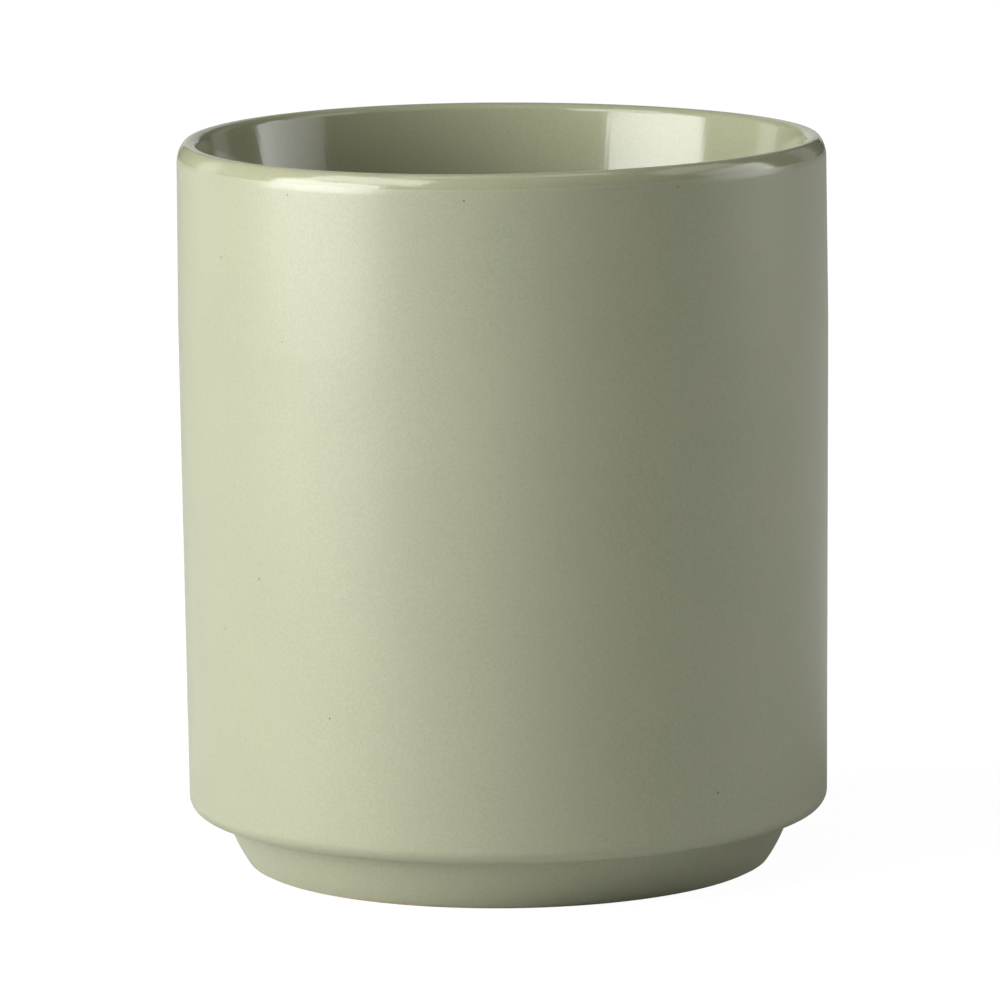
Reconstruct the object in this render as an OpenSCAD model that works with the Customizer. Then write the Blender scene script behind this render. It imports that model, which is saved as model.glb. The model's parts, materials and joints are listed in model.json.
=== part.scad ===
// Brush holder pot: one fired stoneware cylinder on a stepped-in foot, with a satin glaze
// outside, a gloss glaze over the lip and inside, and a bare foot ring.
// Sizes are in millimetres. The origin is the centre of the foot on the table, +Z up.
// Radii and thicknesses are those of the glazed surface, so the clay lies one glaze coat inside.

/* [Overall] */
// Height from the table to the crest of the lip
pot_h = 96; // [78:1:120]
// Outer diameter of the wall just under the lip
rim_d = 85; // [68:1:104]

/* [Wall] */
// Thickness of the wall, below where it thins towards the lip
wall_t = 5; // [4:0.1:6]
// How far the wall swells outwards from the rim at its widest
belly_swell = 0.15; // [0:0.05:1]
// Height of the widest place
belly_z = 72; // [50:1:74]
// How far the wall draws in from the rim at the shoulder
low_draw = 0.3; // [0:0.05:1]

/* [Lip] */
// Thickness of the lip, between its two rounded edges
lip_t = 2.8; // [2.4:0.05:3.4]
// Radius of the rounding from the crest to the outside
lip_tip_r = 0.8; // [0.6:0.05:1]
// Radius of the rounding from the crest to the inside
lip_in_r = 1.3; // [0.8:0.05:1.5]
// Height over which the inside thins from the wall's thickness to the lip's
lip_taper_h = 16; // [10:1:30]
// Height over which the lip's outside edge rounds off
lip_round_h = 2.75; // [2.2:0.05:3.5]

/* [Shoulder] */
// Height over which the shoulder's edge rounds off
shoulder_round_h = 1.9; // [1.6:0.05:3]
// Width over which the shoulder's edge rounds off
shoulder_round_w = 1.7; // [1.4:0.05:2]
// Radius of the rounding where it meets the flat underside
shoulder_tip_r = 1.2; // [0.7:0.05:1.3]

/* [Foot] */
// Height of the foot below the shoulder's flat underside
foot_h = 7.2; // [6.2:0.1:9]
// Gap all round between the top of the foot and the mouth of a like pot below it
nest_gap = 2.15; // [1:0.05:3.5]
// How far the foot's side draws in from its top to the table
foot_flare = 3.3; // [2:0.1:4]
// Radius of the bulging side of the foot
foot_side_r = 20; // [14:0.5:30]
// Radius of the hollow where the foot meets the shoulder
crease_r = 0.6; // [0.4:0.1:1]
// Width of the foot ring
ring_w = 3; // [2.5:0.1:5]
// Depth of the recess inside the foot ring
recess_depth = 2.8; // [2:0.1:3.5]
// Corner radius of the recess
recess_corner_r = 1.2; // [0.6:0.1:1.6]
// Height of bare clay left at the bottom of the foot
bare_h = 0.3; // [0.2:0.05:0.6]
// Width of the eased edges of the bare foot ring
ring_ease = 0.15; // [0.1:0.05:0.3]

/* [Floor] */
// Thickness of the floor
floor_t = 4.8; // [3.6:0.1:6]
// Wall left between the inside corner and the hollow of the step
step_wall = 4.8; // [3.6:0.1:6]

/* [Glaze] */
// Thickness of each glaze coat
glaze_t = 0.3; // [0.15:0.05:0.4]
// How far the gloss glaze comes down outside the lip
lip_gloss_h = 1.8; // [1:0.1:2.4]

/* [Hidden] */
$fn = 128;

clay_colour = "#cdbba3";
satin_colour = "#b4b794";
gloss_colour = "#a9a982";

// Radii from the wall inwards
rim_r = rim_d / 2;
belly_r = rim_r + belly_swell;
low_r = rim_r - low_draw;
mouth_r = rim_r - lip_t;
well_r = low_r - wall_t;
crest_r = mouth_r + lip_in_r;
foot_top_r = mouth_r - nest_gap;
foot_low_r = foot_top_r - foot_flare;
ring_in_r = foot_low_r - ring_w;

// Heights from the table upwards
floor_z = recess_depth + floor_t;
shoulder_top_z = foot_h + shoulder_round_h;
lip_z = pot_h - lip_round_h;
taper_z = pot_h - lip_taper_h;
gloss_z = pot_h - lip_gloss_h;

// Room past the pot that a cutting shape may take up
spare = 5;

// The foot's side is an arc through its top and bottom, with its centre inside the pot
foot_chord = [foot_flare, foot_h];
foot_half = norm(foot_chord) / 2;
foot_out = [foot_h, -foot_flare] / norm(foot_chord);
foot_mid = [foot_low_r, 0] + foot_chord / 2;
foot_centre = foot_mid - foot_out * sqrt(pow(foot_side_r, 2) - pow(foot_half, 2));

// The crease is tangent to the foot's side and to the shoulder's underside
crease_z = foot_h - crease_r;
crease_rise = foot_centre[1] - crease_z;
crease_run = sqrt(pow(foot_side_r + crease_r, 2) - pow(crease_rise, 2));
crease_centre = [foot_centre[0] + crease_run, crease_z];

// The inside corner is as round as leaves step_wall of clay and glaze at the crease:
// the root of the equation that sets its distance from where foot and underside would meet
corner_in = foot_top_r - well_r;
corner_drop = floor_z - foot_h;
corner_sum = step_wall - corner_in - corner_drop;
corner_rest = pow(corner_in, 2) + pow(corner_drop, 2) - pow(step_wall, 2);
corner_r = corner_sum + sqrt(pow(corner_sum, 2) - corner_rest);
corner_centre = [well_r - corner_r, floor_z + corner_r];

// Radius of the foot's side at height z, with the surface a skin's thickness further in
function foot_side_x(z, skin) =
    foot_centre[0] + sqrt(pow(foot_side_r - skin, 2) - pow(z - foot_centre[1], 2));

// Radius of the long arc of an eased corner w wide and h high that ends in an arc of radius tip
function long_arc_r(w, h, tip) =
    (pow(w, 2) + pow(h - tip, 2) - pow(tip, 2)) / (2 * (w - tip));

// An eased corner: a long arc up the side runs smoothly into a short arc over the top
module eased_corner(w, h, tip, skin) {
    long_r = long_arc_r(w, h, tip);
    way = [long_r - w, h - tip] / (long_r - tip);
    tip_centre = [0, h - tip];
    far = tip_centre + way * spare;
    intersection() {
        translate([w - long_r, 0]) circle(r = long_r - skin);
        polygon([[0, 0], [far[0] + spare, 0], far, tip_centre]);
    }
    intersection() {
        translate(tip_centre) circle(r = tip - skin);
        polygon([tip_centre, far, [far[0], h + spare], [0, h + spare]]);
    }
}

// The outside of the pot as a half section filled in to the axis
module outside(skin) {
    // lip
    translate([0, lip_z]) square([crest_r, lip_round_h - skin]);
    translate([crest_r, lip_z]) eased_corner(lip_t - lip_in_r, lip_round_h, lip_tip_r, skin);
    // wall
    polygon([
        [0, shoulder_top_z], [low_r - skin, shoulder_top_z], [belly_r - skin, belly_z],
        [rim_r - skin, lip_z], [0, lip_z]
    ]);
    // shoulder
    translate([0, foot_h + skin])
        square([low_r - shoulder_round_w, shoulder_round_h - skin]);
    translate([low_r - shoulder_round_w, shoulder_top_z])
        mirror([0, 1]) eased_corner(shoulder_round_w, shoulder_round_h, shoulder_tip_r, skin);
    // foot
    square([foot_low_r - ring_w, foot_h + skin]);
    intersection() {
        translate(foot_centre) circle(r = foot_side_r - skin);
        square([rim_r, foot_h + skin]);
    }
    // crease
    crease_slope = crease_run / crease_rise;
    difference() {
        polygon([
            crease_centre, [crease_centre[0], foot_h + skin],
            [crease_centre[0] - crease_slope * (crease_r + skin), foot_h + skin]
        ]);
        translate(crease_centre) circle(r = crease_r + skin);
    }
}

// The well that holds the brushes, as a half section; a skin of glaze taken off makes it wider
module well(skin) {
    corner_skin_r = corner_r + skin;
    difference() {
        translate([0, floor_z - skin]) square([well_r + skin, taper_z - floor_z + skin]);
        difference() {
            translate(corner_centre) mirror([0, 1]) square(corner_skin_r + spare);
            translate(corner_centre) circle(r = corner_skin_r);
        }
    }
    difference() {
        translate([0, taper_z]) square([crest_r, lip_taper_h + spare]);
        translate([crest_r, taper_z])
            mirror([1, 0]) eased_corner(crest_r - well_r, lip_taper_h, lip_in_r, skin);
    }
}

// The recess under the floor, inside the foot ring
module recess(skin) {
    corner = [ring_in_r - recess_corner_r, recess_depth - recess_corner_r];
    translate([0, -spare]) square([ring_in_r + skin, spare + corner[1]]);
    translate([0, corner[1]]) square([corner[0], recess_corner_r + skin]);
    intersection() {
        translate(corner) circle(r = recess_corner_r + skin);
        translate(corner) square(recess_corner_r + skin);
    }
}

// The two bottom edges of the bare foot ring, where they were sponged round
module ring_edges() {
    outer_x = foot_side_x(bare_h, glaze_t);
    inner_x = ring_in_r + glaze_t;
    outer_low_x = foot_side_x(0, glaze_t);
    polygon([
        [outer_low_x - ring_ease, 0], [outer_x + spare, 0], [outer_x + spare, bare_h],
        [outer_x, bare_h]
    ]);
    polygon([[inner_x + ring_ease, 0], [0, 0], [0, bare_h], [inner_x, bare_h]]);
}

// The clay, one glaze coat inside every glazed surface
module clay_section() {
    difference() {
        outside(glaze_t);
        well(glaze_t);
        recess(glaze_t);
        ring_edges();
    }
}

module stoneware_body() {
    color(clay_colour) rotate_extrude() clay_section();
}

// Satin glaze on the wall, the shoulder and the side of the foot
module satin_outer_glaze() {
    color(satin_colour) rotate_extrude() difference() {
        intersection() {
            outside(0);
            translate([0, bare_h]) square([belly_r + spare, gloss_z - bare_h]);
        }
        outside(glaze_t);
    }
}

// Gloss glaze in the well, over the lip and a little way down outside it
module gloss_inner_glaze() {
    color(gloss_colour) rotate_extrude() difference() {
        intersection() {
            outside(0);
            union() {
                translate([0, gloss_z]) square([rim_r + spare, lip_gloss_h]);
                well(glaze_t);
            }
        }
        well(0);
        difference() {
            outside(glaze_t);
            well(glaze_t);
        }
    }
}

// Gloss glaze in the recess under the floor, wiped back from the foot ring
module foot_recess_glaze() {
    color(gloss_colour) rotate_extrude() difference() {
        intersection() {
            recess(glaze_t);
            translate([0, bare_h]) square([ring_in_r + spare, recess_depth + spare]);
        }
        recess(0);
    }
}

stoneware_body();
satin_outer_glaze();
gloss_inner_glaze();
foot_recess_glaze();
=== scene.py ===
# %% [markdown]
# # A glazed stoneware brush pot
# This lesson makes the looks of one round stoneware pot that stands on a desk and holds brushes.
# The pot is one fired clay body with three coats of glaze: a satin coat outside, a gloss coat
# inside and over the lip, and a gloss coat in the recess under the floor. The sizes are already
# fixed by a CAD model, so it is loaded first and everything after it fits that frame.

# %% Load the frame
import json
from math import atan2, cos, hypot, pi, radians, sin, sqrt

import bmesh
import bpy
from mathutils import Matrix, Vector

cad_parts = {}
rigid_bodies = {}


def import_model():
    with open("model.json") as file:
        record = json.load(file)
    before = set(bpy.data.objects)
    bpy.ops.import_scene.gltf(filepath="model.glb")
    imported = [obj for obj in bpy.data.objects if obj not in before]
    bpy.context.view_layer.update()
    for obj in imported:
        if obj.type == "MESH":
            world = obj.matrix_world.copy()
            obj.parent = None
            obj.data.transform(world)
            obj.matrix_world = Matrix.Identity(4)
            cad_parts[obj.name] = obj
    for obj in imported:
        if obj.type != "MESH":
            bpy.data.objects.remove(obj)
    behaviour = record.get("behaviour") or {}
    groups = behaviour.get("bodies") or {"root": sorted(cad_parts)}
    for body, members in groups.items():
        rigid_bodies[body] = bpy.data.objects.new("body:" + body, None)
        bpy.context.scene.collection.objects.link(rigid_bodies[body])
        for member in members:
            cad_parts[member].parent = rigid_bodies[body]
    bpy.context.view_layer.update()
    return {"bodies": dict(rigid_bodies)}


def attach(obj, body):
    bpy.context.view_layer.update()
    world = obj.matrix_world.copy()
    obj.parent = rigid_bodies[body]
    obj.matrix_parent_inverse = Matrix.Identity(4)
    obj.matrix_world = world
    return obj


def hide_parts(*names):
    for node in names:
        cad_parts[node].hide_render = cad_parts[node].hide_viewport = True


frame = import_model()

body = next(iter(frame["bodies"]))

# %% [markdown]
# ## Helpers
# Three small helpers serve the whole file. Sizes are easier to read in millimetres, and Blender
# works in metres, so one value turns one into the other. Colours are written as the hex values
# that a paint chart gives, and Blender's shaders add light in linear values, so one function
# converts them. The last helper adds a node with its settings and links in one call.

# %% Helpers
MM = 0.001
# A Mix node has a set of sockets for each kind of value; these numbers are the colour ones
COLOUR_A, COLOUR_B, COLOUR_OUT = 6, 7, 2


def linear(hex_colour):
    """A colour such as "#b4b794" as linear red, green, blue and alpha."""
    parts = [int(hex_colour[i:i + 2], 16) / 255 for i in (1, 3, 5)]
    return [c / 12.92 if c <= 0.04045 else ((c + 0.055) / 1.055) ** 2.4 for c in parts] + [1.0]


def add(tree, kind, inputs=None, **settings):
    """Adds a node, applies its settings, and fills or links its inputs by name or number."""
    node = tree.nodes.new(kind)
    for name, value in settings.items():
        setattr(node, name, value)
    for key, value in (inputs or {}).items():
        if isinstance(value, bpy.types.NodeSocket):
            tree.links.new(value, node.inputs[key])
        else:
            node.inputs[key].default_value = value
    return node


# %% [markdown]
# ## Camera
# A pot looks right only when its ellipses are as open as they are in life, and the height of
# the eye sets that. The camera stands a little over a metre away and looks nine degrees down
# with a long lens, as in a catalogue, which keeps the sides nearly parallel.

# %% Camera
AIM_Z = 47.73 * MM
DISTANCE = 1062.5 * MM
PITCH = 0.158925
YAW = -0.00064526
ROLL = -0.0110827
LENS_MM, SENSOR_MM = 290.38, 36
FARTHEST = 20

away = Vector((0, cos(PITCH), -sin(PITCH)))
right = Vector((1, 0, 0))
up = right.cross(away)
away, right = cos(YAW) * away + sin(YAW) * right, cos(YAW) * right - sin(YAW) * away
right, up = cos(ROLL) * right + sin(ROLL) * up, cos(ROLL) * up - sin(ROLL) * right

camera = bpy.data.objects.new("camera", bpy.data.cameras.new("camera"))
camera.data.lens = LENS_MM
camera.data.sensor_width = SENSOR_MM
camera.data.clip_end = FARTHEST
eye = Vector((0, -DISTANCE * cos(PITCH), AIM_Z + DISTANCE * sin(PITCH)))
camera.matrix_world = Matrix.Translation(eye) @ Matrix((right, up, -away)).transposed().to_4x4()
bpy.context.collection.objects.link(camera)
bpy.context.scene.camera = camera
print("camera at (m):", [round(v, 4) for v in eye])

# %% [markdown]
# ## The half section
# A pot made on a wheel is one half section turned round its axis, so its whole shape is a short
# list of arcs and lines in the plane of radius and height. It could be drawn by hand as a curve,
# but worked out from the sizes it stays exactly on the CAD model. The sizes below are the ones
# that the CAD source drives, in millimetres. Each run of points lies on the outside of the
# glaze, and the clay lies one coat of glaze behind it.

# %% Sizes
POT_H, RIM_R = 96, 42.5
BELLY_R, BELLY_Z, LOW_R = 42.65, 72, 42.2
CREST_R, LIP_OUT_TIP_R, LIP_ROUND_H = 41.0, 0.8, 2.75
LIP_IN_TIP_R, LIP_TAPER_H, WELL_R = 1.3, 16, 37.2
SHOULDER_ROUND_H, SHOULDER_ROUND_W, SHOULDER_TIP_R = 1.9, 1.7, 1.2
FOOT_H, FOOT_TOP_R, FOOT_LOW_R, FOOT_SIDE_R, CREASE_R = 7.2, 37.55, 34.25, 20, 0.6
RING_IN_R, RECESS_H, RECESS_CORNER_R = 31.25, 2.8, 1.2
FLOOR_Z, STEP_WALL = 7.6, 4.8
BARE_H, RING_EASE, GLAZE_T, LIP_GLOSS_H = 0.3, 0.15, 0.3, 1.8


# %% Arcs and eased corners
def arc(centre, radius, start, end, steps):
    """Points along an arc of the section, from one angle to another, in radians."""
    return [(centre[0] + radius * cos(start + (end - start) * i / steps),
             centre[1] + radius * sin(start + (end - start) * i / steps))
            for i in range(steps + 1)]


def eased_corner(foot, width, height, tip, side, lift, steps=(14, 10)):
    """An edge that leaves a wall at foot, bends in slowly, and turns over on a small radius.

    side is 1 for a wall that faces outwards, and lift is 1 for an edge that bends upwards."""
    long_r = (width ** 2 + (height - tip) ** 2 - tip ** 2) / (2 * (width - tip))
    turn = atan2(height - tip, long_r - width)
    points = arc((width - long_r, 0), long_r, 0, turn, steps[0])
    points += arc((0, height - tip), tip, turn, pi / 2, steps[1])[1:]
    return [(foot[0] + side * (x - width), foot[1] + lift * z) for x, z in points]


# %% [markdown]
# The outside runs from the crest of the lip down the wall, round the shoulder, into the crease
# where the foot steps in, and down the foot to the table. The inside runs from the crest down
# the flared mouth and the straight wall, round the corner, to the middle of the floor.

# %% Runs of the section
lip_z = POT_H - LIP_ROUND_H
lip_outside = eased_corner((RIM_R, lip_z), RIM_R - CREST_R, LIP_ROUND_H, LIP_OUT_TIP_R, 1, 1)
shoulder_z = FOOT_H + SHOULDER_ROUND_H
shoulder = eased_corner((LOW_R, shoulder_z), SHOULDER_ROUND_W, SHOULDER_ROUND_H,
                        SHOULDER_TIP_R, 1, -1)


def between(a, b, steps):
    """Points from a towards b, without a and b themselves."""
    return [(a[0] + (b[0] - a[0]) * i / steps, a[1] + (b[1] - a[1]) * i / steps)
            for i in range(1, steps)]


chord = hypot(FOOT_TOP_R - FOOT_LOW_R, FOOT_H)
out = (FOOT_H / chord, -(FOOT_TOP_R - FOOT_LOW_R) / chord)
reach = sqrt(FOOT_SIDE_R ** 2 - chord ** 2 / 4)
foot_centre = ((FOOT_LOW_R + FOOT_TOP_R) / 2 - out[0] * reach, FOOT_H / 2 - out[1] * reach)
crease_rise = foot_centre[1] - (FOOT_H - CREASE_R)
crease_run = sqrt((FOOT_SIDE_R + CREASE_R) ** 2 - crease_rise ** 2)
crease_centre = (foot_centre[0] + crease_run, FOOT_H - CREASE_R)
crease_turn = atan2(crease_rise, -crease_run)
foot_top_turn = atan2(-crease_rise, crease_run)
foot_low_turn = atan2(-foot_centre[1], FOOT_LOW_R - foot_centre[0])
crease = arc(crease_centre, CREASE_R, pi / 2, crease_turn, 10)
foot_side = arc(foot_centre, FOOT_SIDE_R, foot_top_turn, foot_low_turn, 16)

outside = (lip_outside[::-1] + between((RIM_R, lip_z), (BELLY_R, BELLY_Z), 20)
           + [(BELLY_R, BELLY_Z)] + between((BELLY_R, BELLY_Z), (LOW_R, shoulder_z), 24)
           + shoulder + between(shoulder[-1], crease[0], 3) + crease + foot_side[1:])

taper_z = POT_H - LIP_TAPER_H
mouth = eased_corner((WELL_R, taper_z), CREST_R - WELL_R, LIP_TAPER_H, LIP_IN_TIP_R, -1, 1,
                     (24, 12))
corner_in, corner_drop = FOOT_TOP_R - WELL_R, FLOOR_Z - FOOT_H
corner_sum = STEP_WALL - corner_in - corner_drop
corner_r = corner_sum + sqrt(corner_sum ** 2 + STEP_WALL ** 2 - corner_in ** 2 - corner_drop ** 2)
corner_centre = (WELL_R - corner_r, FLOOR_Z + corner_r)
corner = arc(corner_centre, corner_r, 0, -pi / 2, 20)
inside = (mouth[::-1] + between(mouth[0], corner[0], 24) + corner
          + between(corner[-1], (0, FLOOR_Z), 12) + [(0, FLOOR_Z)])

recess_centre = (RING_IN_R - RECESS_CORNER_R, RECESS_H - RECESS_CORNER_R)
recess = ([(RING_IN_R, 0)] + arc(recess_centre, RECESS_CORNER_R, 0, pi / 2, 8)
          + between((recess_centre[0], RECESS_H), (0, RECESS_H), 10) + [(0, RECESS_H)])
print("points: outside", len(outside), "inside", len(inside), "recess", len(recess))


# %% [markdown]
# The back of a coat is its front moved one thickness into the clay. Each point moves along the
# normal of the run there, so the coat is equally thick round every bend. The clay lies to the
# right of the outside and recess runs, and to the left of the inside run. The points on the axis
# are given directly, so that they stay exactly on it.

# %% Fronts and backs of the coats
def behind(run, side):
    """The run moved one glaze thickness, to the right of its direction for side 1, left for -1."""
    moved = []
    for i, (x, z) in enumerate(run):
        before, after = run[max(i - 1, 0)], run[min(i + 1, len(run) - 1)]
        dx, dz = after[0] - before[0], after[1] - before[1]
        shift = side * GLAZE_T / hypot(dx, dz)
        moved.append((max(x + shift * dz, 0), z - shift * dx))
    return moved


def cut(run, z, above):
    """The part of a run above or below height z, with a point exactly at z."""
    kept = []
    for a, b in zip(run, run[1:]):
        inside_a, inside_b = (a[1] >= z) == above, (b[1] >= z) == above
        if inside_a:
            kept.append(a)
        if inside_a != inside_b:
            t = (z - a[1]) / (b[1] - a[1])
            kept.append((a[0] + t * (b[0] - a[0]), z))
    if (run[-1][1] >= z) == above:
        kept.append(run[-1])
    return kept


NEAR_TABLE = 0.01
gloss_z = POT_H - LIP_GLOSS_H
outside_back, inside_back, recess_back = behind(outside, 1), behind(inside, -1), behind(recess, 1)
inside_back[-1], recess_back[-1] = (0, FLOOR_Z - GLAZE_T), (0, RECESS_H + GLAZE_T)

satin_front = cut(cut(outside, gloss_z, False), BARE_H, True)
satin_back = cut(cut(outside_back, gloss_z, False), BARE_H, True)
satin_loop = satin_front + satin_back[::-1]
gloss_loop = (inside[::-1] + cut(outside, gloss_z, True)[1:]
              + cut(outside_back, gloss_z, True)[::-1] + inside_back[1:])
recess_loop = cut(recess, BARE_H, True)[::-1] + cut(recess_back, BARE_H, True)
ring_out_r = cut(outside_back, NEAR_TABLE, True)[-1][0] - RING_EASE
ring_in_r = cut(recess_back, BARE_H, True)[0][0] + RING_EASE
clay_loop = (inside_back[::-1] + cut(outside_back, BARE_H, True)[1:]
             + [(ring_out_r, 0), (ring_in_r, 0)] + cut(recess_back, BARE_H, True))
print("loop points:", len(satin_loop), len(gloss_loop), len(recess_loop), len(clay_loop))


# %% [markdown]
# ## Turning the section on the wheel
# Each coat and the clay is one closed loop of the section turned round the axis, and only the
# loop differs. The Spin tool or a Screw modifier could turn it, and both leave a perfect round.
# A fired pot is never quite true: its rim dips where the kiln was hottest, and its wall ripples
# by hundredths of a millimetre, which is what makes a reflection in the gloss look like glaze. So
# one Geometry Nodes tree lays a grid round the axis, reads each row's radius and height from the
# loop, and adds these two faults as it goes. The faults depend only on place, so the coats still
# meet the clay everywhere.

# %% The wheel as a node tree
wheel = bpy.data.node_groups.new("wheel", "GeometryNodeTree")
for name, kind in (("Section", "Geometry"), ("Section points", "Int"), ("Steps round", "Int"),
                   ("Rim dip", "Float"), ("Ripple", "Float"), ("Finish", "Material")):
    wheel.interface.new_socket(name, in_out="INPUT", socket_type="NodeSocket" + kind)
wheel.interface.new_socket("Turned", in_out="OUTPUT", socket_type="NodeSocketGeometry")
given = add(wheel, "NodeGroupInput").outputs
position = add(wheel, "GeometryNodeInputPosition").outputs[0]

columns = add(wheel, "ShaderNodeMath", {0: given["Steps round"], 1: 1.0}, operation="ADD")
grid = add(wheel, "GeometryNodeMeshGrid",
           {"Size X": 1.0, "Size Y": 1.0, "Vertices X": columns.outputs[0],
            "Vertices Y": given["Section points"]})
cell = add(wheel, "ShaderNodeSeparateXYZ", {0: position}).outputs
last = add(wheel, "ShaderNodeMath", {0: given["Section points"], 1: 1.0}, operation="SUBTRACT")
along = add(wheel, "ShaderNodeMath", {0: cell["Y"], 1: 0.5}, operation="ADD")
row = add(wheel, "ShaderNodeMath", {0: along.outputs[0], 1: last.outputs[0]},
          operation="MULTIPLY")
whole_row = add(wheel, "ShaderNodeMath", {0: row.outputs[0]}, operation="ROUND")
turn = add(wheel, "ShaderNodeMath", {0: cell["X"], 1: 2 * pi, 2: pi}, operation="MULTIPLY_ADD")
point = add(wheel, "GeometryNodeSampleIndex",
            {"Geometry": given["Section"], "Value": position, "Index": whole_row.outputs[0]},
            data_type="FLOAT_VECTOR", domain="POINT")
row_point = add(wheel, "ShaderNodeSeparateXYZ", {0: point.outputs[0]}).outputs
cosine = add(wheel, "ShaderNodeMath", {0: turn.outputs[0]}, operation="COSINE").outputs[0]
sine = add(wheel, "ShaderNodeMath", {0: turn.outputs[0]}, operation="SINE").outputs[0]

# %% [markdown]
# The rim dips twice round, by the product of sine and cosine, and the dip fades down the wall.
# The ripple is one soft noise read at each point's own place on the wall, and it only ever draws
# the wall inwards, so the pot never grows past the size of its CAD model.

# %% Two faults of a fired pot
DIP_FROM_Z = 50 * MM
DIP_LEVEL = -0.51
RIPPLE_WIDTH = 14 * MM

rim_part = add(wheel, "ShaderNodeMapRange",
               {"Value": row_point["Z"], "From Min": DIP_FROM_Z, "From Max": POT_H * MM},
               interpolation_type="SMOOTHSTEP")
twice = add(wheel, "ShaderNodeMath", {0: sine, 1: cosine}, operation="MULTIPLY")
dip_turn = add(wheel, "ShaderNodeMath", {0: twice.outputs[0], 1: -1.0, 2: DIP_LEVEL},
               operation="MULTIPLY_ADD")
dip_most = add(wheel, "ShaderNodeMath", {0: dip_turn.outputs[0], 1: given["Rim dip"]},
               operation="MULTIPLY")
dip = add(wheel, "ShaderNodeMath", {0: dip_most.outputs[0], 1: rim_part.outputs[0]},
          operation="MULTIPLY")

true_x = add(wheel, "ShaderNodeMath", {0: row_point["X"], 1: cosine}, operation="MULTIPLY")
true_y = add(wheel, "ShaderNodeMath", {0: row_point["X"], 1: sine}, operation="MULTIPLY")
true_spot = add(wheel, "ShaderNodeCombineXYZ",
                {"X": true_x.outputs[0], "Y": true_y.outputs[0], "Z": row_point["Z"]})
ripple = add(wheel, "ShaderNodeTexNoise",
             {"Vector": true_spot.outputs[0], "Scale": 1 / RIPPLE_WIDTH, "Detail": 1.0})
sink = add(wheel, "ShaderNodeMath", {0: ripple.outputs[0], 1: given["Ripple"]},
           operation="MULTIPLY")
warped_r = add(wheel, "ShaderNodeMath", {0: row_point["X"], 1: sink.outputs[0]},
               operation="SUBTRACT")
radius = add(wheel, "ShaderNodeMath", {0: warped_r.outputs[0], 1: 0.0}, operation="MAXIMUM")

# %% [markdown]
# The two ends of the grid then meet at the seam, and its rows on the axis shrink to one point,
# so near doubles are merged. The glaze is smooth across every gentle bend and has a real edge
# only where a coat ends, so faces are shaded smooth and steep edges are kept sharp.

# %% Close the turned shape
MERGE_DISTANCE = 0.5e-6
SHARP_ANGLE = radians(35)

laid_x = add(wheel, "ShaderNodeMath", {0: radius.outputs[0], 1: cosine}, operation="MULTIPLY")
laid_y = add(wheel, "ShaderNodeMath", {0: radius.outputs[0], 1: sine}, operation="MULTIPLY")
laid_z = add(wheel, "ShaderNodeMath", {0: row_point["Z"], 1: dip.outputs[0]}, operation="ADD")
laid_spot = add(wheel, "ShaderNodeCombineXYZ",
                {"X": laid_x.outputs[0], "Y": laid_y.outputs[0], "Z": laid_z.outputs[0]})
laid = add(wheel, "GeometryNodeSetPosition",
           {"Geometry": grid.outputs["Mesh"], "Position": laid_spot.outputs[0]})
joined = add(wheel, "GeometryNodeMergeByDistance",
             {"Geometry": laid.outputs[0], "Distance": MERGE_DISTANCE})
bend = add(wheel, "GeometryNodeInputMeshEdgeAngle")
gentle = add(wheel, "FunctionNodeCompare", {0: bend.outputs["Unsigned Angle"], 1: SHARP_ANGLE},
             data_type="FLOAT", operation="LESS_THAN")
smooth = add(wheel, "GeometryNodeSetShadeSmooth",
             {"Geometry": joined.outputs[0], "Shade Smooth": gentle.outputs[0]}, domain="EDGE")
real = add(wheel, "GeometryNodeRealizeInstances", {"Geometry": smooth.outputs[0]})
finished = add(wheel, "GeometryNodeSetMaterial",
               {"Geometry": real.outputs[0], "Material": given["Finish"]})
add(wheel, "NodeGroupOutput", {"Turned": finished.outputs[0]})
print("wheel tree:", len(wheel.nodes), "nodes")

# %% [markdown]
# ## Satin glaze
# The outside is a sage satin-matt stoneware glaze, dipped and fired. Tiny crystals in its skin
# scatter light, so a lamp shows as a broad soft glow and never as an edge. Its colour is broken
# by grains a fifth of a millimetre across, some greener and some browner, with wide faint clouds
# over them. The grain could be painted, and two noises do it evenly all round. Here and there a
# gas bubble left a pinhole. The pinholes are the cores of Voronoi cells that fill all space, and
# only a core that happens to lie in the skin shows, so there are few of them. Each pinhole is sunk
# by a bump, and its colour is darkened as painted shade in the pit.

# %% Satin glaze
GRAIN, SPECK, CLOUD = 0.2 * MM, 0.45 * MM, 16 * MM
SPECK_SHARE, CLOUD_SHARE = 0.4, 0.13
DEEP_AT, PALE_AT = 0.38, 0.62
PINHOLE_CELL, PINHOLE_R = 4.5 * MM, 0.16 * MM
# A cell whose random red is below this has no pinhole; the depth is in heights of the grain
NO_PINHOLE, PINHOLE_DEPTH = 0.2, 4.0
WEAR = 0.08


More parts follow.
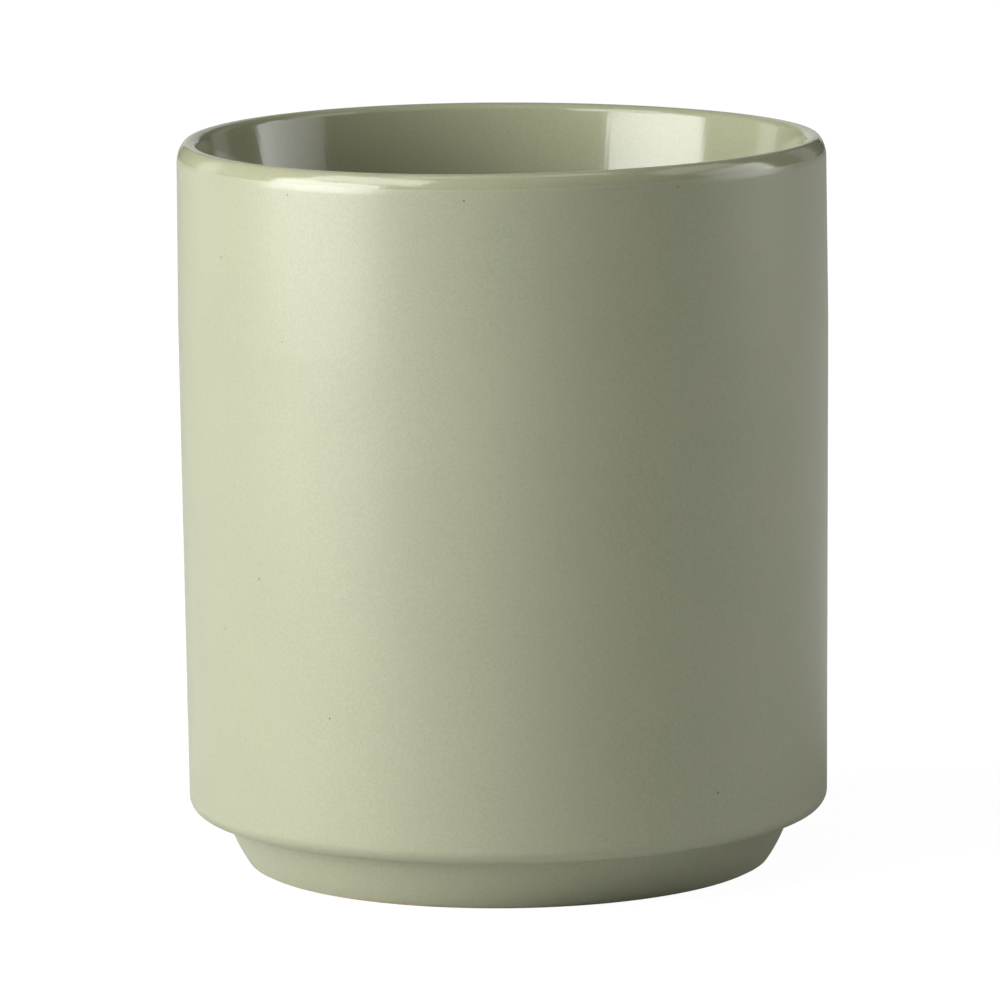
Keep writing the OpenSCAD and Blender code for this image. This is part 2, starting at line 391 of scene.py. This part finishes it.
def glaze(name, deep, mid, pale, ior, roughness, grit):
    """A fired glaze of three near shades, with grain, clouds, pinholes with painted shade and a
    fine skin.
    """
    material = bpy.data.materials.new(name)
    material.use_nodes = True
    tree = material.node_tree
    tree.nodes.clear()
    spot = add(tree, "ShaderNodeTexCoord").outputs["Object"]
    grain = add(tree, "ShaderNodeTexNoise", {"Vector": spot, "Scale": 1 / GRAIN, "Detail": 2.0})
    speck = add(tree, "ShaderNodeTexNoise", {"Vector": spot, "Scale": 1 / SPECK, "Detail": 1.0})
    cloud = add(tree, "ShaderNodeTexNoise", {"Vector": spot, "Scale": 1 / CLOUD, "Detail": 2.0})
    both = add(tree, "ShaderNodeMix", {"Factor": SPECK_SHARE, "A": grain.outputs[0],
                                       "B": speck.outputs[0]})
    shade = add(tree, "ShaderNodeMix", {"Factor": CLOUD_SHARE, "A": both.outputs[0],
                                        "B": cloud.outputs[0]})
    ramp = add(tree, "ShaderNodeValToRGB", {"Fac": shade.outputs[0]})
    low, high = ramp.color_ramp.elements
    low.position, high.position = DEEP_AT, PALE_AT
    low.color, high.color = linear(deep), linear(pale)
    ramp.color_ramp.elements.new((DEEP_AT + PALE_AT) / 2).color = linear(mid)

    cells = add(tree, "ShaderNodeTexVoronoi", {"Vector": spot, "Scale": 1 / PINHOLE_CELL})
    pick = add(tree, "ShaderNodeSeparateColor", {"Color": cells.outputs["Color"]})
    rare = add(tree, "ShaderNodeMapRange", {"Value": pick.outputs[0], "From Min": NO_PINHOLE,
                                            "From Max": 1.0, "To Max": PINHOLE_R / PINHOLE_CELL})
    pit_and_painted_shade = add(tree, "ShaderNodeMath", {0: cells.outputs["Distance"], 1: rare.outputs[0]},
               operation="LESS_THAN")
    # Inside each pinhole the colour turns to #6c6953, painted shade of the pit; the height below
    # sinks the pit as a bump
    colour = add(tree, "ShaderNodeMix", {0: pit_and_painted_shade.outputs[0], COLOUR_A: ramp.outputs[0],
                                         COLOUR_B: linear("#6c6953")}, data_type="RGBA")
    height = add(tree, "ShaderNodeMath",
                 {0: pit_and_painted_shade.outputs[0], 1: -PINHOLE_DEPTH, 2: grain.outputs[0]},
                 operation="MULTIPLY_ADD")
    bump = add(tree, "ShaderNodeBump", {"Strength": 1.0, "Distance": grit,
                                        "Height": height.outputs[0]})
    wear = add(tree, "ShaderNodeMapRange", {"Value": cloud.outputs[0],
                                            "To Min": (1 - WEAR) * roughness,
                                            "To Max": (1 + WEAR) * roughness})
    shader = add(tree, "ShaderNodeBsdfPrincipled",
                 {"Base Color": colour.outputs[COLOUR_OUT], "Roughness": wear.outputs[0],
                  "IOR": ior, "Normal": bump.outputs[0]})
    add(tree, "ShaderNodeOutputMaterial", {"Surface": shader.outputs[0]})
    return material


satin = glaze("satin_sage_glaze", "#989c83", "#9ea087", "#a4a38a", 1.6, 0.3, 0.002 * MM)

# %% [markdown]
# ## Gloss glaze
# Inside, over the lip and under the floor the same sage lies beneath a clear gloss coat. It is
# as smooth as glass, so lamps show in it with crisp sides, broken only by the faint ripple of
# the wall. A glass of IOR 1.52 with low roughness gives that look.

# %% Gloss glaze
gloss = glaze("gloss_sage_glaze", "#979a7e", "#9b9d81", "#9f9f84", 1.52, 0.11, 0.0004 * MM)

# %% [markdown]
# ## Bare clay
# The foot ring carries no glaze, because glaze would weld the pot to the kiln shelf. Fired
# stoneware is warm buff, dry and gritty to the finger, with darker specks of iron. A fine noise
# makes the grit, as colour, dryness and bump together, and a coarser one picks out the iron.

# %% Bare clay
clay = bpy.data.materials.new("bare_fired_stoneware")
clay.use_nodes = True
tree = clay.node_tree
tree.nodes.clear()
GRIT, IRON = 0.3 * MM, 1.6 * MM
IRON_FROM, IRON_FULL, IRON_SHARE = 0.62, 0.7, 0.6
SMOOTHEST, DRIEST = 0.78, 0.95
GRIT_HEIGHT = 0.03 * MM
spot = add(tree, "ShaderNodeTexCoord").outputs["Object"]
grit = add(tree, "ShaderNodeTexNoise", {"Vector": spot, "Scale": 1 / GRIT, "Detail": 3.0})
iron = add(tree, "ShaderNodeTexNoise", {"Vector": spot, "Scale": 1 / IRON, "Detail": 2.0})
buff = add(tree, "ShaderNodeValToRGB", {"Fac": grit.outputs[0]})
buff.color_ramp.elements[0].color = linear("#b39a7c")
buff.color_ramp.elements[1].color = linear("#dcc9ae")
rust = add(tree, "ShaderNodeMapRange", {"Value": iron.outputs[0], "From Min": IRON_FROM,
                                        "From Max": IRON_FULL, "To Max": IRON_SHARE})
toned = add(tree, "ShaderNodeMix", {0: rust.outputs[0], COLOUR_A: buff.outputs[0],
                                    COLOUR_B: linear("#8a6a4c")}, data_type="RGBA")
dry = add(tree, "ShaderNodeMapRange", {"Value": grit.outputs[0], "To Min": SMOOTHEST,
                                       "To Max": DRIEST})
bump = add(tree, "ShaderNodeBump", {"Strength": 1.0, "Distance": GRIT_HEIGHT,
                                    "Height": grit.outputs[0]})
shader = add(tree, "ShaderNodeBsdfPrincipled",
             {"Base Color": toned.outputs[COLOUR_OUT], "Roughness": dry.outputs[0], "IOR": 1.5,
              "Normal": bump.outputs[0]})
add(tree, "ShaderNodeOutputMaterial", {"Surface": shader.outputs[0]})

# %% [markdown]
# ## The four turned pieces
# Each piece starts as a chain of points, gets the wheel as a modifier with its own inputs, and
# ends as a plain mesh. A turned loop can come out with its faces pointing inwards, so the
# normals are worked out again once the doubles are merged, and the printed volume shows that
# the shell is closed and the right way out.

# %% Turn the pieces
STEPS_ROUND = 320
RIM_DIP, RIPPLE = 0.32 * MM, 0.037 * MM


def turned(name, loop, finish, node):
    """Turns a loop of the section into a finished piece that stands for a CAD node."""
    chain = bpy.data.meshes.new(name)
    points = list(loop)
    if points[0][0] > 0 or points[-1][0] > 0:
        points.append(points[0])
    chain.from_pydata([(x * MM, 0, z * MM) for x, z in points],
                      [(i, i + 1) for i in range(len(points) - 1)], [])
    piece = bpy.data.objects.new(name, chain)
    bpy.context.collection.objects.link(piece)
    modifier = piece.modifiers.new("wheel", "NODES")
    modifier.node_group = wheel
    values = {"Section points": len(points), "Steps round": STEPS_ROUND, "Rim dip": RIM_DIP,
              "Ripple": RIPPLE, "Finish": finish}
    for item in wheel.interface.items_tree:
        if item.in_out == "INPUT" and item.name in values:
            modifier[item.identifier] = values[item.name]
    evaluated = piece.evaluated_get(bpy.context.evaluated_depsgraph_get())
    mesh = bpy.data.meshes.new_from_object(evaluated)
    piece.modifiers.clear()
    piece.data = mesh
    shell = bmesh.new()
    shell.from_mesh(mesh)
    bmesh.ops.recalc_face_normals(shell, faces=shell.faces)
    open_edges = sum(not edge.is_manifold for edge in shell.edges)
    print(name, "faces", len(shell.faces), "open edges", open_edges,
          "volume (cm3) %.2f" % (shell.calc_volume(signed=True) * 1e6))
    shell.to_mesh(mesh)
    shell.free()
    mesh.name = name
    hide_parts(node)
    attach(piece, body)


turned("fired_clay", clay_loop, clay, "stoneware_body")
turned("satin_coat", satin_loop, satin, "satin_outer_glaze")
turned("gloss_coat", gloss_loop, gloss, "gloss_inner_glaze")
turned("recess_coat", recess_loop, gloss, "foot_recess_glaze")

# %% [markdown]
# ## Floor and room
# The pot stands on a plain white table in a white room. To the eye the table and the room are
# overexposed, so a camera ray sees an even white, with a trace of shadow left under the foot.
# To the pot the table is ordinary white board: bright where the lamps reach it, and dark in the
# pot's own shadow, which is what shades the underside of the foot.

# %% Floor and room
FLOOR_SIDE = 6.0
FLOOR_GLOW, ROOM_GLOW, WHITE_GLOW = 0.96, 0.02, 1.05

floor_mesh = bpy.data.meshes.new("floor")
half = FLOOR_SIDE / 2
floor_mesh.from_pydata([(-half, -half, 0), (half, -half, 0), (half, half, 0), (-half, half, 0)],
                       [], [(0, 1, 2, 3)])
floor = bpy.data.objects.new("floor", floor_mesh)
bpy.context.collection.objects.link(floor)
board = bpy.data.materials.new("white_board")
board.use_nodes = True
tree = board.node_tree
tree.nodes.clear()
ray = add(tree, "ShaderNodeLightPath").outputs["Is Camera Ray"]
matt = add(tree, "ShaderNodeBsdfDiffuse", {"Color": linear("#d8d8d6")})
dim = add(tree, "ShaderNodeBsdfDiffuse", {"Color": linear("#5a5a5a")})
glow = add(tree, "ShaderNodeEmission", {"Color": linear("#ffffff"), "Strength": FLOOR_GLOW})
seen = add(tree, "ShaderNodeAddShader", {0: dim.outputs[0], 1: glow.outputs[0]})
floor_mix = add(tree, "ShaderNodeMixShader", {0: ray, 1: matt.outputs[0], 2: seen.outputs[0]})
add(tree, "ShaderNodeOutputMaterial", {"Surface": floor_mix.outputs[0]})
floor_mesh.materials.append(board)

world = bpy.data.worlds.new("white_room")
bpy.context.scene.world = world
world.use_nodes = True
tree = world.node_tree
tree.nodes.clear()
ray = add(tree, "ShaderNodeLightPath").outputs["Is Camera Ray"]
room = add(tree, "ShaderNodeBackground", {"Color": linear("#f4f4ec"), "Strength": ROOM_GLOW})
white = add(tree, "ShaderNodeBackground", {"Color": linear("#ffffff"), "Strength": WHITE_GLOW})
sky = add(tree, "ShaderNodeMixShader", {0: ray, 1: room.outputs[0], 2: white.outputs[0]})
add(tree, "ShaderNodeOutputWorld", {"Surface": sky.outputs[0]})
bpy.context.scene.view_settings.view_transform = "Standard"

# %% [markdown]
# ## Lamps
# Plain white soft boxes light the pot, as in a small product studio. A wide one on the left is
# the key: it gives the broad glow on the satin and the crisp bright patch inside. A large one
# high above each side fills the shadows evenly. A lower one to the right, brighter on its far
# side, draws the grey band that rounds the right of the wall. Two narrow ones and a backdrop
# stand behind the pot, and a strip overhead draws thin lines along the lip. Each upright one is
# placed by its bearing in degrees from straight in front of the pot, left being negative, by its
# distance, and by its width and the heights that it covers, all in metres.

# %% Lamps
def soft_box(name, bearing, far, width, low, high, first_glow, last_glow, fade=0.0):
    """An upright area lamp at a bearing in degrees, facing the pot's axis.

    Its glow runs from first_glow to last_glow as the bearing grows, and fade is the share that
    it loses from its middle to both sides, as a real soft box does."""
    height = high - low
    lamp = bpy.data.lights.new(name, "AREA")
    lamp.shape = "RECTANGLE"
    lamp.size, lamp.size_y = width, height
    lamp.energy = pi * width * height
    lamp.use_nodes = True
    tree = lamp.node_tree
    tree.nodes.clear()
    spot = add(tree, "ShaderNodeSeparateXYZ",
               {0: add(tree, "ShaderNodeNewGeometry").outputs["Parametric"]})
    across = add(tree, "ShaderNodeMapRange", {"Value": spot.outputs["X"], "To Min": first_glow,
                                              "To Max": last_glow})
    from_middle = add(tree, "ShaderNodeMath", {0: spot.outputs["X"], 1: 0.5},
                      operation="SUBTRACT")
    off_middle = add(tree, "ShaderNodeMath", {0: from_middle.outputs[0]}, operation="ABSOLUTE")
    hot = add(tree, "ShaderNodeMapRange", {"Value": off_middle.outputs[0], "From Max": 0.5,
                                           "To Min": 1.0, "To Max": 1 - fade})
    glow = add(tree, "ShaderNodeMath", {0: across.outputs[0], 1: hot.outputs[0]},
               operation="MULTIPLY")
    shader = add(tree, "ShaderNodeEmission", {"Strength": glow.outputs[0]})
    add(tree, "ShaderNodeOutputLight", {"Surface": shader.outputs[0]})
    box = bpy.data.objects.new(name, lamp)
    turn = radians(bearing)
    middle = Vector((far * sin(turn), -far * cos(turn), (low + high) / 2))
    facing = Vector((-sin(turn), cos(turn), 0))
    upright = Vector((0, 0, 1))
    side = facing.cross(upright)
    box.matrix_world = (Matrix.Translation(middle)
                        @ Matrix((side, upright, -facing)).transposed().to_4x4())
    box.visible_camera = False
    bpy.context.collection.objects.link(box)
    print(name, "bearing", bearing, "size (m)", round(width, 2), round(height, 2))


soft_box("key_box", -67.2, 1.3, 1.09, 0.0, 0.9, 9.2, 9.2, 0.16)
soft_box("key_haze", -58, 1.5, 1.5, 1.1, 2.3, 5.5, 5.5)
soft_box("right_box", 95, 1.3, 0.82, 0.05, 0.9, 1.2, 4.2)
soft_box("right_haze", 88, 1.5, 1.1, 1.1, 2.0, 1.6, 1.6)
soft_box("back_left", -129, 1.4, 0.34, 0.0, 0.7, 1.0, 1.0)
soft_box("back_right", 141, 1.4, 0.34, 0.0, 0.7, 0.3, 0.3)
soft_box("backdrop", 180, 1.4, 0.7, 0.05, 0.9, 0.6, 0.6)

TOP_WIDTH, TOP_DEPTH, TOP_GLOW = 1.5, 0.2, 2.8
TOP_Y, TOP_Z = -0.45, 1.45
top = bpy.data.lights.new("top_strip", "AREA")
top.shape = "RECTANGLE"
top.size, top.size_y = TOP_WIDTH, TOP_DEPTH
top.energy = TOP_GLOW * pi * TOP_WIDTH * TOP_DEPTH
top_box = bpy.data.objects.new("top_strip", top)
top_box.matrix_world = (Matrix.Translation((0, TOP_Y, TOP_Z))
                        @ Matrix.Rotation(atan2(TOP_Y, TOP_Z), 4, "X"))
top_box.visible_camera = False
bpy.context.collection.objects.link(top_box)
